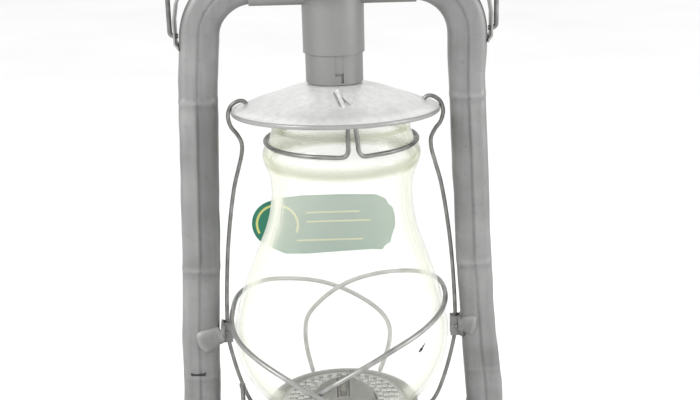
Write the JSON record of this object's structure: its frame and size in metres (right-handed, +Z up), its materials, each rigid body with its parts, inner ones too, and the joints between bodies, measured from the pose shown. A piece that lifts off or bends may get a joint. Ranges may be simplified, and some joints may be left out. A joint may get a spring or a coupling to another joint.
{
  "type": "storm lantern",
  "caption": "Tubular kerosene storm lantern: round fount, two side air tubes, sliding chimney, glass globe in a lifting wire cage, wick burner and wire bail.",
  "frame": {"origin": "on the floor under the middle of the fount", "axes": "+Z up, -Y the front with the wick knob, +X to the right seen from the front"},
  "size_m": [0.1738, 0.169, 0.4272],
  "materials": {
    "galvanised": "matte",
    "tinplate": "satin",
    "wire": "satin",
    "burner_brass": "dull",
    "burner_steel": "dull",
    "glass": "clear",
    "wick_cotton": "woven",
    "gasket": "matte",
    "tag_paper": "matte"
  },
  "bodies": {
    "frame": {"fount_pan": "galvanised", "fount_shell": "galvanised", "filler_neck": "tinplate", "burner_collar": "burner_brass", "burner_body": "burner_steel", "wick_tube": "burner_brass", "burner_cone": "burner_steel", "air_chamber": "galvanised", "left_tube_saddle": "galvanised", "right_tube_saddle": "galvanised", "left_air_tube": "galvanised", "right_air_tube": "galvanised", "crown_shell": "galvanised", "crown_cover": "tinplate", "outer_sleeve": "galvanised", "left_bail_ear": "galvanised", "right_bail_ear": "galvanised", "left_wire_guide": "galvanised", "right_wire_guide": "galvanised", "lever_bracket": "galvanised"},
    "gasket": {"filler_gasket": "gasket"},
    "cap": {"filler_cap": "tinplate"},
    "wick": {"wick": "wick_cotton"},
    "spindle": {"wick_spindle": "tinplate", "wick_knob": "tinplate"},
    "lever": {"lift_lever": "wire"},
    "cage": {"lift_tongue": "galvanised", "globe_plate": "galvanised", "plate_grille": "tinplate", "globe": "glass", "left_guard_wire": "wire", "right_guard_wire": "wire", "left_lifter_wire": "wire", "right_lifter_wire": "wire", "canopy": "tinplate", "neck_spring": "wire", "paper_tag": "tag_paper"},
    "chimney": {"inner_sleeve": "galvanised", "vent_band": "tinplate", "rain_cap": "tinplate", "ring_eye": "wire"},
    "ring": {"pull_ring": "wire"},
    "bail": {"bail": "wire"}
  },
  "joints": [
    {"name": "cage_lift", "type": "slide", "parent": "frame", "child": "cage", "axis": [0, 0, 1], "range_m": [0, 0.0138]},
    {"name": "lever_turn", "type": "hinge", "parent": "frame", "child": "lever", "pos_m": [-0.054, -0.01, 0.078], "axis": [0, -1, 0], "range_deg": [0, 48.2]},
    {"name": "chimney_slide", "type": "slide", "parent": "cage", "child": "chimney", "axis": [0, 0, 1], "range_m": [0, 0.02]},
    {"name": "ring_swing", "type": "hinge", "parent": "chimney", "child": "ring", "pos_m": [0, 0, 0.3804], "axis": [-1, 0, 0], "range_deg": [0, 200]},
    {"name": "bail_swing", "type": "hinge", "parent": "frame", "child": "bail", "pos_m": [0, 0, 0.296], "axis": [1, 0, 0], "range_deg": [-100, 100]},
    {"name": "wick_turn", "type": "hinge", "parent": "frame", "child": "spindle", "pos_m": [0.0055, 0, 0.075], "axis": [0, 1, 0], "range_deg": [-100, 150]},
    {"name": "wick_feed", "type": "slide", "parent": "frame", "child": "wick", "axis": [0, 0, 1], "range_m": [-0.0064, 0.0096]},
    {"name": "cap_turn", "type": "hinge", "parent": "gasket", "child": "cap", "pos_m": [-0.041, -0.041, 0.056], "axis": [0, 0, 1], "range_deg": [0, 540.5]},
    {"name": "cap_rise", "type": "slide", "parent": "frame", "child": "gasket", "axis": [0, 0, 1], "range_m": [0, 0.0045]}
  ],
  "couplings": [
    {"joint": "lever_turn", "follows": "cage_lift", "rad_per_m": 60.707},
    {"joint": "wick_turn", "follows": "wick_feed", "rad_per_m": 270.27},
    {"joint": "cap_turn", "follows": "cap_rise", "rad_per_m": 2094.4}
  ]
}
